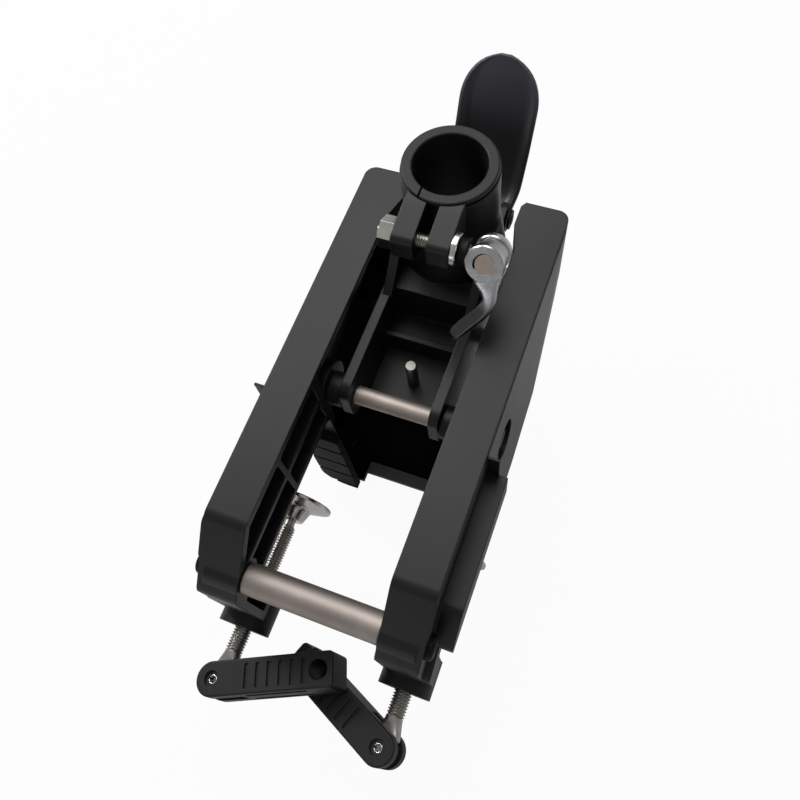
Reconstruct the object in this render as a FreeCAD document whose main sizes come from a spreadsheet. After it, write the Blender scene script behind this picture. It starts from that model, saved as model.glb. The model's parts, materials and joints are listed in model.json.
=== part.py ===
import FreeCAD, Part
import os
import re
from math import atan2, hypot, pi, tan
import Sketcher
from FreeCAD import Placement, Rotation, Vector

# Clamp bracket that holds a trolling motor's shaft on a transom.
# X runs across, Y points outboard and Z up. The origin is on the shaft's axis, level with the arms' top faces.

doc = FreeCAD.newDocument("ClampBracket")
sheet = doc.addObject("Spreadsheet::Sheet", "Sizes")

sizes = {
    # arms, measured from the shaft's axis and from their top faces
    "bend_reach": 148.4,
    "slope_run": 25.0,
    "jaw_thick": 11.0,
    "arm_end": 18.6,
    "arm_inner": 28.3,
    "flange_width": 17.3,
    "wall": 3.5,
    "bar_depth": 38,
    "leg_front": 86.4,
    "leg_thick": 15,
    "leg_drop": 130,
    "leg_round": 15,
    "side_drop_leg": 66,
    "side_drop_end": 48,
    "nose_round": 14,
    "plan_round": 5,
    "end_narrow": 3.6,
    "end_narrow_length": 24,
    "end_narrow_drop": 34,
    # ribs inside the arms
    "rib_thick": 2.5,
    "rib_drop": 19,
    "cross_rib_reach": 120.4,
    "bottom_rim": 2.6,
    # block and flared side wall outside the arms
    "block_proud": 8.4,
    "block_drop": 20,
    "block_end_reach": 93.4,
    "block_nose": 12,
    "flare_proud": 1.7,
    "flare_lean": 5,
    "flare_taper_reach": 45,
    "flare_edge": 0.05,
    # clamp screws
    "screw_side": 37.5,
    "screw_drop": 74,
    "screw_radius": 4,
    "boss_radius": 11.5,
    "boss_front": 5.5,
    "web_drop": 8,
    "web_inset": 0.4,
    "handle_room": 29,
    "pad_face_reach": 117.4,
    "pad_radius": 16,
    "pad_hub_radius": 7,
    "pad_hub_length": 10,
    "neck_thick": 5.7,
    "eye_radius": 5.2,
    "neck_length": 10.5,
    "screw_turn": -14,
    # folding handles
    "handle_length": 55,
    "handle_width": 14.6,
    "handle_thick": 16,
    "handle_fold": 23,
    "handle_pin_radius": 2,
    "pin_seat_radius": 3.35,
    "pin_seat_depth": 1.2,
    "slot_length": 13,
    "padlock_radius": 4.1,
    "padlock_reach": 48.5,
    "groove_start": 16,
    "groove_pitch": 5.2,
    "groove_count": 6,
    "groove_width": 1.6,
    "groove_length": 10,
    "groove_depth": 0.9,
    # tie tube between the arms
    "tube_ahead": 14,
    "tube_drop": 23.7,
    "tube_radius": 6.3,
    "tie_screw_radius": 3,
    # lower cross plate
    "plate_thick": 3,
    "plate_top": 50,
    "plate_tab": 11,
    "plate_lip": 6,
    "plate_screw_below": 14,
    # transom pads
    "transom_pad_thick": 4,
    "transom_pad_top": 60,
    "transom_groove_pitch": 17,
    "transom_groove_count": 4,
    "transom_groove": 2.2,
    # tilt pivot
    "pivot_reach": 76.9,
    "pivot_drop": 25.4,
    "pivot_radius": 4,
    "spacer_radius": 7.25,
    "pivot_nut_across": 13,
    "recess_radius": 9,
    "recess_depth": 7,
    # tilt bracket
    "cheek_inner": 17.2,
    "cheek_outer": 21.4,
    "cheek_top": 13.5,
    "pivot_cheek": 12,
    "pivot_nose": 6.5,
    "bracket_bottom": 46,
    "floor_reach": 69,
    "floor_thick": 3.6,
    "rib_reach": 42.6,
    "rib_top": 30,
    "upper_floor": 34,
    "bracket_rib": 2.4,
    "cheek_wall_reach": 29.4,
    "gusset_rise": 17,
    "stop_pin_reach": 57.3,
    "stop_pin_radius": 2.5,
    "stop_pin_top": 25.2,
    # collar and shaft bushing
    "collar_radius": 19.5,
    "collar_top": 33.7,
    "collar_foot_radius": 22.5,
    "collar_foot_top": 10,
    "shaft_radius": 14.5,
    "bushing_radius": 16.5,
    "bushing_flange": 19,
    "bushing_flange_thick": 3,
    "bushing_split": 0.8,
    "bushing_split_side": 6.5,
    "ear_side": 11.4,
    "ear_slot": 5.3,
    "ear_slot_depth": 38,
    "ear_radius": 8,
    "ear_front": 6.2,
    "ear_slope": 3,
    "bolt_reach": 30.4,
    "bolt_rise": 28,
    "bolt_radius": 3,
    # quick release
    "nut_across": 11,
    "nut_thick": 5.5,
    "washer_radius": 6.5,
    "washer_thick": 2.5,
    "cam_reach": 25.6,
    "cam_radius": 7.3,
    "cam_offset": 0.5,
    "cam_width": 15,
    "cam_slot": 7.2,
    "cam_pin_radius": 3.5,
    "cam_tilt": 34,
    "lever_drop": 35,
    "blade_width": 3.9,
    "eye_play": 0.3,
    # tilt lock lever
    "paddle_pivot_back": 30,
    "paddle_pivot_drop": 30,
    "paddle_hub": 6,
    "paddle_pin_radius": 2.5,
    "paddle_back": 73.6,
    "paddle_rise": 23,
    "paddle_half": 18,
    "paddle_thick": 4.4,
    "clip_room": 1.6,
    "lug_half": 15.2,
    "lug_gap": 11.8,
    "spring_wire": 0.6,
    "spring_turns": 3,
    # bar that the bracket rests on
    "rest_bar_reach": 22,
    "rest_bar_radius": 4,
    # clearances
    "play": 0.1,
    "turn_play": 0.05,
    "side_play": 0.15,
}

for row, (word, number) in enumerate(sizes.items(), start=1):
    sheet.set(f"A{row}", word)
    sheet.set(f"B{row}", str(number))
    sheet.setAlias(f"B{row}", word)
doc.recompute()


def bound(text):
    return re.sub(r"[a-z_]+", lambda m: "Sizes." + m.group(0) if m.group(0) in sizes else m.group(0), str(text))


def value(text):
    return float(sheet.evalExpression(bound(text)))


def bind(thing, prop, text):
    thing.setExpression(prop, bound(text))


def place(thing, at, turn=None):
    thing.Placement = Placement(Vector(*[value(part) for part in at]), turn or Rotation())
    for axis, part in zip("xyz", at):
        bind(thing, f"Placement.Base.{axis}", part)
    return thing


def new_body(label):
    body = doc.addObject("PartDesign::Body", label)
    body.Label = label
    return body


def new_sketch(body, name, plane, level):
    planes = {feature.Role: feature for feature in body.Origin.OriginFeatures}
    sketch = body.newObject("Sketcher::SketchObject", name)
    sketch.AttachmentSupport = (planes[plane + "_Plane"], [""])
    sketch.MapMode = "FlatFace"
    bind(sketch, "AttachmentOffset.Base.z", f"-({level})" if plane == "XZ" else level)
    return sketch


def corner(before, here, after):
    # where a rounded corner's arc starts and ends, its centre and whether it turns left
    point = Vector(here[0], here[1], 0)
    back = Vector(before[0], before[1], 0) - point
    ahead = Vector(after[0], after[1], 0) - point
    if not here[2]:
        return point, point, point, True
    back.normalize()
    ahead.normalize()
    half = back.getAngle(ahead) / 2
    reach = here[2] / tan(half)
    middle = (back + ahead).normalize() * hypot(reach, here[2])
    return point + back * reach, point + ahead * reach, point + middle, ahead.cross(back).z > 0


def pin_down(sketch, kind, number, geometry, text):
    at = value(text)
    index = sketch.addConstraint(Sketcher.Constraint("Distance" + kind, -1, 1, geometry, 1, at))
    sketch.renameConstraint(index, f"{kind.lower()}{number}")
    bind(sketch, f"Constraints.{kind.lower()}{number}", text)


def outline(body, name, plane, points, level="0"):
    # closed outline of straight runs; a point with a third value is rounded by that radius
    sketch = new_sketch(body, name, plane, level)
    places = [(value(p[0]), value(p[1]), value(p[2]) if len(p) > 2 else 0) for p in points]
    count = len(places)
    bends = [corner(places[i - 1], places[i], places[(i + 1) % count]) for i in range(count)]
    runs = []
    for i in range(count):
        run = Part.LineSegment(bends[i][1], bends[(i + 1) % count][0])
        runs.append(sketch.addGeometry(run, False))
    for i, point in enumerate(points):
        before, after = runs[i - 1], runs[i]
        if places[i][2]:
            start, stop, middle, left = bends[i]
            first, last = (start, stop) if left else (stop, start)
            angles = [atan2(end.y - middle.y, end.x - middle.x) for end in (first, last)]
            if angles[1] < angles[0]:
                angles[1] += 2 * pi
            circle = Part.Circle(middle, Vector(0, 0, 1), places[i][2])
            arc = sketch.addGeometry(Part.ArcOfCircle(circle, angles[0], angles[1]), False)
            ends = (1, 2) if left else (2, 1)
            sketch.addConstraint(Sketcher.Constraint("Tangent", before, 2, arc, ends[0]))
            sketch.addConstraint(Sketcher.Constraint("Tangent", arc, ends[1], after, 1))
            radius = sketch.addConstraint(Sketcher.Constraint("Radius", arc, places[i][2]))
            sketch.renameConstraint(radius, f"r{i}")
            bind(sketch, f"Constraints.r{i}", point[2])
            mark = sketch.addGeometry(Part.Point(Vector(places[i][0], places[i][1], 0)), True)
            sketch.addConstraint(Sketcher.Constraint("PointOnObject", mark, 1, before))
            sketch.addConstraint(Sketcher.Constraint("PointOnObject", mark, 1, after))
        else:
            sketch.addConstraint(Sketcher.Constraint("Coincident", before, 2, after, 1))
            mark = after
        pin_down(sketch, "X", i, mark, point[0])
        pin_down(sketch, "Y", i, mark, point[1])
    return sketch


def box(x_low, x_high, y_low, y_high):
    return [(x_low, y_low), (x_high, y_low), (x_high, y_high), (x_low, y_high)]


def ring(body, name, plane, x, y, radius, level="0"):
    sketch = new_sketch(body, name, plane, level)
    circle = sketch.addGeometry(Part.Circle(Vector(value(x), value(y), 0), Vector(0, 0, 1), value(radius)), False)
    for kind, at in (("X", x), ("Y", y)):
        index = sketch.addConstraint(Sketcher.Constraint("Distance" + kind, -1, 1, circle, 3, value(at)))
        sketch.renameConstraint(index, f"centre{kind}")
        bind(sketch, f"Constraints.centre{kind}", at)
    index = sketch.addConstraint(Sketcher.Constraint("Radius", circle, value(radius)))
    sketch.renameConstraint(index, "radius")
    bind(sketch, "Constraints.radius", radius)
    return sketch


def pad(body, sketch, length, backwards=False, middle=False):
    feature = body.newObject("PartDesign::Pad", sketch.Name + "Pad")
    feature.Profile = sketch
    bind(feature, "Length", length)
    feature.Reversed = backwards
    feature.Midplane = middle
    return feature


def pocket(body, sketch, length, forwards=False, middle=False):
    # forwards cuts along the sketch's normal
    feature = body.newObject("PartDesign::Pocket", sketch.Name + "Pocket")
    feature.Profile = sketch
    bind(feature, "Length", length)
    feature.Reversed = forwards
    feature.Midplane = middle
    return feature


def rounded(body, name, radius, choose):
    # rounds the edges of the body's last shape whose middle point the rule chooses
    doc.recompute()
    base = body.Tip
    names = []
    for number, edge in enumerate(base.Shape.Edges, start=1):
        first, last = edge.ParameterRange
        if choose(edge.valueAt((first + last) / 2), edge):
            names.append(f"Edge{number}")
    feature = body.newObject("PartDesign::Fillet", name)
    feature.Base = (base, names)
    bind(feature, "Radius", radius)
    return feature


def turned(label, at, turn, profile):
    # a piece turned about its own X axis from (along, radius) points
    body = new_body(label)
    sketch = outline(body, label + "Half", "XY", profile)
    feature = body.newObject("PartDesign::Revolution", label + "Turn")
    feature.Profile = sketch
    feature.ReferenceAxis = (sketch, ["H_Axis"])
    feature.Angle = 360
    place(body, at, turn)
    return body


def tube(x_low, x_high, inner, outer):
    return [(x_low, inner), (x_high, inner), (x_high, outer), (x_low, outer)]


def mirrored(label, source):
    twin = doc.addObject("Part::Mirroring", label)
    twin.Label = label
    twin.Source = source
    twin.Normal = Vector(1, 0, 0)
    return twin


def group(label, members):
    both = doc.addObject("Part::Compound", label)
    both.Label = label
    both.Links = members
    return both


def close(first, second):
    return abs(first - second) < 0.01


pieces = {}
along_y = Rotation(Vector(0, 0, 1), 90)
along_z = Rotation(Vector(0, 1, 0), -90)
along_x = Rotation()

# places that several pieces share
front_reach = "(bend_reach + slope_run)"
jaw_back = "(bend_reach + slope_run - jaw_thick)"
handle_reach = "(bend_reach + slope_run + handle_room)"
leg_back = "(leg_front - leg_thick)"
outer_side = "(arm_inner + flange_width)"
flare_side = "(arm_inner + flange_width + flare_proud)"
plate_screw_reach = "(leg_front - leg_thick + plate_thick + plate_tab / 2)"
plate_screw_drop = "(side_drop_leg + plate_screw_below)"
rest_bar_drop = "(bracket_bottom + rest_bar_radius + turn_play)"


def make_arm():
    # one casting: top flange, web on the outer side, ribs inside, front jaw with its boss, rear leg
    arm = new_body("right_clamp_arm")
    side = outline(arm, "ArmSide", "YZ", [
        ("-bend_reach", "0", "6"),
        ("-" + front_reach, "-slope_run", "5"),
        ("-" + front_reach, "-screw_drop"),
        ("-" + jaw_back, "-screw_drop"),
        ("-" + jaw_back, "-bar_depth", "4"),
        ("-leg_front", "-bar_depth", "4"),
        ("-leg_front", "-leg_drop"),
        ("-" + leg_back, "-leg_drop"),
        ("-" + leg_back, "-side_drop_leg", "6"),
        ("arm_end", "-side_drop_end", "nose_round"),
        ("arm_end", "0"),
    ], "arm_inner")
    pad(arm, side, "flange_width")
    outer, end = value(outer_side), value("arm_end")
    rounded(arm, "LegCorner", "leg_round", lambda p, e: close(p.x, outer) and close(p.z, -value("leg_drop")))
    rounded(arm, "PlanCorner", "plan_round",
            lambda p, e: close(p.x, outer) and close(p.y, end) and p.z < -value("wall"))
    narrow = outline(arm, "EndNarrow", "XY", [
        ("arm_inner + 1", "arm_end - end_narrow_length"),
        ("arm_inner + 1", "arm_end"),
        ("arm_inner - end_narrow + 1.6", "arm_end"),
        ("arm_inner - end_narrow", "arm_end - 2.4"),
        ("arm_inner - end_narrow", "arm_end - end_narrow_length / 2"),
        ("arm_inner", "arm_end - end_narrow_length"),
    ])
    pad(arm, narrow, "end_narrow_drop", backwards=True)
    block = outline(arm, "Block", "YZ", [
        ("-block_end_reach", "-block_drop"),
        ("-bend_reach", "-block_drop", "5"),
        ("-(bend_reach + block_nose)", "-(block_drop + block_nose)", "3"),
        ("-(bend_reach + block_nose)", "-bar_depth"),
        ("-block_end_reach", "-bar_depth"),
    ], outer_side + " - 1")
    pad(arm, block, "block_proud + 1")
    flare = outline(arm, "Flare", "YZ", [
        ("-(block_end_reach + 1)", "-2"),
        ("-(block_end_reach + 1)", "-bar_depth"),
        ("-leg_front", "-bar_depth"),
        ("-leg_front", "-side_drop_leg"),
        ("-" + leg_back, "-side_drop_leg"),
        ("arm_end - plan_round", "-side_drop_end", "nose_round"),
        ("arm_end - plan_round", "-2"),
    ], outer_side + " - 1")
    pad(arm, flare, "flare_lean + 1")
    # the flare leans outwards going down and runs out towards the far end
    past = outer_side + " + flare_lean + 2"
    lean = outline(arm, "FlareLean", "XZ", [
        (outer_side + " + flare_edge", "1"),
        (outer_side + " + flare_lean", "-(side_drop_leg + 1)"),
        (past, "-(side_drop_leg + 1)"),
        (past, "1"),
    ], "-block_end_reach")
    pocket(arm, lean, "block_end_reach + arm_end + 1")
    taper = outline(arm, "FlareTaper", "XY", [
        (outer_side + " + flare_edge", "arm_end - plan_round - 1"),
        (outer_side + " + flare_lean", "-flare_taper_reach"),
        (past, "-flare_taper_reach"),
        (past, "arm_end + 1"),
        (outer_side + " + flare_edge", "arm_end + 1"),
    ], "1")
    pocket(arm, taper, "side_drop_leg + 2")

    web = outline(arm, "JawWeb", "YZ", [
        ("-" + front_reach, "-screw_drop"),
        ("-" + front_reach, "-(bar_depth + web_drop)", "3"),
        ("-(bend_reach + block_nose)", "-(bar_depth - 1)"),
        ("-bend_reach", "-(bar_depth - 1)"),
        ("-" + jaw_back, "-(bar_depth + web_drop + 4)", "3"),
        ("-" + jaw_back, "-screw_drop"),
    ], outer_side + " - 1")
    pad(arm, web, "screw_side + boss_radius - web_inset - (" + outer_side + " - 1)")

    # pockets behind the flange, one each side of every rib
    depth = "flange_width - wall"
    rib_low = "-(rib_drop - rib_thick / 2)"
    rib_high = "-(rib_drop + rib_thick / 2)"
    rim = "-(bar_depth - bottom_rim)"
    near_rib = "-(cross_rib_reach + rib_thick / 2)"
    far_rib = "-(cross_rib_reach - rib_thick / 2)"
    pockets = {
        "UpperFront": [
            ("-(bend_reach + rib_drop - rib_thick / 2 - 1.414 * wall)", rib_low),
            (near_rib, rib_low, "2"),
            (near_rib, "-wall", "2"),
            ("-(bend_reach - 0.414 * wall)", "-wall", "4"),
        ],
        "UpperRear": [
            (far_rib, rib_low, "2"),
            ("-(leg_front + rib_thick / 2)", rib_low, "2"),
            ("-(leg_front + rib_thick / 2)", "-wall", "2"),
            (far_rib, "-wall", "2"),
        ],
        "LowerFront": [
            ("-(" + jaw_back + " - rib_thick)", rib_high, "2"),
            ("-(" + jaw_back + " - rib_thick)", rim, "2"),
            (near_rib, rim, "2"),
            (near_rib, rib_high, "2"),
        ],
        "LowerRear": [
            (far_rib, rib_high, "2"),
            (far_rib, rim, "2"),
            ("-(leg_front + rib_thick / 2)", rim, "2"),
            ("-(leg_front + rib_thick / 2)", rib_high, "2"),
        ],
        "Outboard": [
            ("-(leg_front - wall)", "-wall", "3"),
            ("-(leg_front - wall)", "-(leg_drop - leg_round)", "3"),
            ("-(" + leg_back + " + wall)", "-(leg_drop - leg_round)", "3"),
            ("-(" + leg_back + " + wall)", "-(side_drop_leg - wall)", "6"),
            ("arm_end - end_narrow_length - 1", "-(side_drop_end + 1)", "6"),
            ("arm_end - end_narrow_length - 1", "-wall", "3"),
        ],
        "Jaw": [
            ("-(" + front_reach + " - wall)", "-(bar_depth - 4)", "1"),
            ("-(" + front_reach + " - wall)", "-(screw_drop - boss_radius - 1)", "1"),
            ("-(" + jaw_back + " + wall)", "-(screw_drop - boss_radius - 1)", "1"),
            ("-(" + jaw_back + " + wall)", "-(bar_depth - 4)", "1"),
        ],
        "Nose": [
            ("arm_end - end_narrow_length + 1.5", "-(end_narrow_drop + 2)", "2"),
            ("arm_end - end_narrow_length + 1.5", "-(side_drop_end - wall)", "2"),
            ("arm_end - nose_round", "-(side_drop_end - wall - 1)", "2"),
            ("arm_end - nose_round", "-(end_narrow_drop + 2)", "2"),
        ],
    }
    for name, points in pockets.items():
        pocket(arm, outline(arm, name, "YZ", points, "arm_inner"), depth, forwards=True)
    deep = {
        "BlockFront": ("-bend_reach", near_rib),
        "BlockRear": (far_rib, "-(block_end_reach + wall)"),
    }
    for name, (start, stop) in deep.items():
        points = box(start, stop, rim, "-(block_drop + wall)")
        pocket(arm, outline(arm, name, "YZ", points, "arm_inner"), depth + " + block_proud", forwards=True)

    # bosses that the cross pieces seat on, flush with the inner face
    bosses = {
        "TubeBoss": ("-(bend_reach + tube_ahead)", "-tube_drop", "tube_radius + 1.6"),
        "PivotBoss": ("-pivot_reach", "-pivot_drop", "recess_radius + 2.5"),
        "PlateBoss": ("-" + plate_screw_reach, "-" + plate_screw_drop, "tie_screw_radius + 2.6"),
        "RestBoss": ("-rest_bar_reach", "-" + rest_bar_drop, "rest_bar_radius + 2.2"),
    }
    for name, (y, z, radius) in bosses.items():
        pad(arm, ring(arm, name, "YZ", y, z, radius, "arm_inner"), "flange_width - wall + 1")
    pad(arm, ring(arm, "ScrewBoss", "XZ", "screw_side", "-screw_drop", "boss_radius", "-" + jaw_back),
        "jaw_thick + boss_front")

    # holes
    pocket(arm, ring(arm, "ScrewHole", "XZ", "screw_side", "-screw_drop", "screw_radius + play",
                     "-(" + front_reach + " + boss_front + 1)"), "jaw_thick + boss_front + 2")
    through = "flange_width + flare_proud + 2"
    pocket(arm, ring(arm, "TubeHole", "YZ", "-(bend_reach + tube_ahead)", "-tube_drop", "tie_screw_radius + play",
                     "arm_inner - 1"), through, forwards=True)
    pocket(arm, ring(arm, "PlateHole", "YZ", "-" + plate_screw_reach, "-" + plate_screw_drop,
                     "tie_screw_radius + play", "arm_inner - 1"), through, forwards=True)
    pocket(arm, ring(arm, "PivotHole", "YZ", "-pivot_reach", "-pivot_drop", "pivot_radius + turn_play",
                     "arm_inner - 1"), through, forwards=True)
    pocket(arm, ring(arm, "PivotRecess", "YZ", "-pivot_reach", "-pivot_drop", "recess_radius",
                     outer_side + " + flare_lean"), "flare_lean - flare_proud + recess_depth")
    pocket(arm, ring(arm, "RestHole", "YZ", "-rest_bar_reach", "-" + rest_bar_drop, "rest_bar_radius + play",
                     "arm_inner"), "flange_width - 2 * wall", forwards=True)
    pieces["right_clamp_arm"] = arm
    pieces["left_clamp_arm"] = mirrored("left_clamp_arm", arm)


def pan_screw(label, at, turn, length):
    # the head's underside is at 0 and the shank points along minus X
    return turned(label, at, turn, [
        ("-(" + length + ")", "0"),
        ("-(" + length + ")", "tie_screw_radius", "0.6"),
        ("0", "tie_screw_radius"),
        ("0", "2 * tie_screw_radius - 1"),
        ("tie_screw_radius", "2 * tie_screw_radius - 1", "1.6"),
        ("tie_screw_radius", "1.6"),
        ("1.2", "1.6"),
        ("1.2", "0"),
    ])


def make_cross_pieces():
    half = "arm_inner - side_play"
    depth = "13"
    tie = turned("front_tie_tube", ("0", "-(bend_reach + tube_ahead)", "-tube_drop"), along_x, [
        ("-(" + half + ")", "tie_screw_radius + turn_play"),
        (half, "tie_screw_radius + turn_play"),
        (half, "tube_radius", "0.6"),
        ("-(" + half + ")", "tube_radius", "0.6"),
    ])
    pieces["front_tie_tube"] = tie
    screw = pan_screw("tie_tube_screw", (outer_side, "-(bend_reach + tube_ahead)", "-tube_drop"), along_x,
                      "flange_width + " + depth)
    pieces["tie_tube_screws"] = group("tie_tube_screws", [screw, mirrored("tie_tube_screw_left", screw)])

    plate = new_body("lower_cross_plate")
    # channel between the legs: wall at their back, a flange along each leg, a lip at the foot
    wall_back, wall_front = "-" + leg_back, "-(" + leg_back + " + plate_thick)"
    flange = "-(" + leg_back + " + plate_thick + plate_tab)"
    inner = "arm_inner - side_play - plate_thick"
    channel = outline(plate, "PlatePlan", "XY", [
        ("-(" + half + ")", wall_back, "1.5"),
        (half, wall_back, "1.5"),
        (half, flange),
        (inner, flange),
        (inner, wall_front, "1.5"),
        ("-(" + inner + ")", wall_front, "1.5"),
        ("-(" + inner + ")", flange),
        ("-(" + half + ")", flange),
    ], "-plate_top")
    pad(plate, channel, "leg_drop - 1 - plate_top", backwards=True)
    lip = outline(plate, "PlateLip", "XY", box("-(" + inner + " + 1)", inner + " + 1",
                                               "-(" + leg_back + " + plate_thick + plate_lip)", wall_front + " + 1"),
                  "-(leg_drop - 1 - plate_thick)")
    pad(plate, lip, "plate_thick", backwards=True)
    holes = ring(plate, "PlateScrewHoles", "YZ", "-" + plate_screw_reach, "-" + plate_screw_drop,
                 "tie_screw_radius + turn_play")
    pocket(plate, holes, "2 * arm_inner + 2", middle=True)
    pieces["lower_cross_plate"] = plate
    screw = pan_screw("cross_plate_screw", (outer_side, "-" + plate_screw_reach, "-" + plate_screw_drop), along_x,
                      "flange_width + side_play + plate_thick")
    pieces["cross_plate_screws"] = group("cross_plate_screws",
                                         [screw, mirrored("cross_plate_screw_left", screw)])

    pieces["rest_bar"] = turned("rest_bar", ("0", "-rest_bar_reach", "-" + rest_bar_drop), along_x, [
        ("-(arm_inner + flange_width - 2 * wall - play)", "0"),
        ("arm_inner + flange_width - 2 * wall - play", "0"),
        ("arm_inner + flange_width - 2 * wall - play", "rest_bar_radius", "0.8"),
        ("-(arm_inner + flange_width - 2 * wall - play)", "rest_bar_radius", "0.8"),
    ])


def make_transom_pads():
    # soft ridged pad on the front of each rear leg
    soft = new_body("right_transom_pad")
    front = outline(soft, "PadFront", "XZ", [
        ("arm_inner - 1.3", "-leg_drop + 2"),
        (outer_side, "-leg_drop + 2", "leg_round - 1"),
        (outer_side, "-transom_pad_top", "1.5"),
        ("arm_inner - 1.3", "-transom_pad_top", "1.5"),
    ], "-leg_front")
    pad(soft, front, "transom_pad_thick")
    grooves = outline(soft, "PadGroove", "XZ", box(
        "arm_inner - 3", outer_side + " + 2",
        "-(transom_pad_top + transom_groove_pitch - 2)",
        "-(transom_pad_top + transom_groove_pitch - 2 - transom_groove)"),
        "-(leg_front + transom_pad_thick)")
    cut = pocket(soft, grooves, "transom_pad_thick / 2")
    rows = soft.newObject("PartDesign::LinearPattern", "PadGrooves")
    rows.Originals = [cut]
    rows.Direction = (grooves, ["V_Axis"])
    rows.Reversed = True
    bind(rows, "Length", "transom_groove_pitch * (transom_groove_count - 1)")
    bind(rows, "Occurrences", "transom_groove_count")
    soft.Tip = rows
    pieces["right_transom_pad"] = soft
    pieces["left_transom_pad"] = mirrored("left_transom_pad", soft)


def hexagon(body, name, plane, across, level="0"):
    flat = f"({across}) / 2"
    points = [(f"{flat} / cos(30) * cos({turn})", f"{flat} / cos(30) * sin({turn})") for turn in range(0, 360, 60)]
    return outline(body, name, plane, points, level)


def make_nut(label, at, turn, across, thick, hole):
    # the nut's faces lie across its own Z axis
    nut = new_body(label)
    pad(nut, hexagon(nut, label + "Hex", "XY", across), thick)
    pocket(nut, ring(nut, label + "Hole", "XY", "0", "0", hole, thick), thick)
    return place(nut, at, turn)


def make_pivot():
    seat = flare_side + " - recess_depth"
    bolt = turned("tilt_pivot_bolt", ("0", "-pivot_reach", "-pivot_drop"), along_x, [
        ("-(" + seat + " + 5)", "0"),
        ("-(" + seat + " + 5)", "pivot_radius + 2.6", "2"),
        ("-(" + seat + ")", "pivot_radius + 2.6"),
        ("-(" + seat + ")", "pivot_radius"),
        (seat + " + 6.4", "pivot_radius", "0.6"),
        (seat + " + 6.4", "0"),
    ])
    pieces["tilt_pivot_bolt"] = bolt
    nut_turn = Rotation(Vector(0, 1, 0), 90)
    pieces["tilt_pivot_nut"] = make_nut("tilt_pivot_nut", (seat, "-pivot_reach", "-pivot_drop"), nut_turn,
                                        "pivot_nut_across", "nut_thick", "pivot_radius + turn_play")
    spacer = turned("pivot_spacer", ("0", "-pivot_reach", "-pivot_drop"), along_x, [
        ("cheek_outer + side_play", "pivot_radius + turn_play"),
        ("arm_inner - side_play", "pivot_radius + turn_play"),
        ("arm_inner - side_play", "spacer_radius", "0.6"),
        ("cheek_outer + side_play", "spacer_radius", "0.6"),
    ])
    pieces["pivot_spacers"] = group("pivot_spacers", [spacer, mirrored("pivot_spacer_left", spacer)])
    bush = turned("pivot_bush", ("0", "-pivot_reach", "-pivot_drop"), along_x,
                  tube("cheek_inner - 0.4", "cheek_outer", "pivot_radius + turn_play", "pivot_radius + 1.2"))
    pieces["pivot_bushes"] = group("pivot_bushes", [bush, mirrored("pivot_bush_left", bush)])


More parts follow.
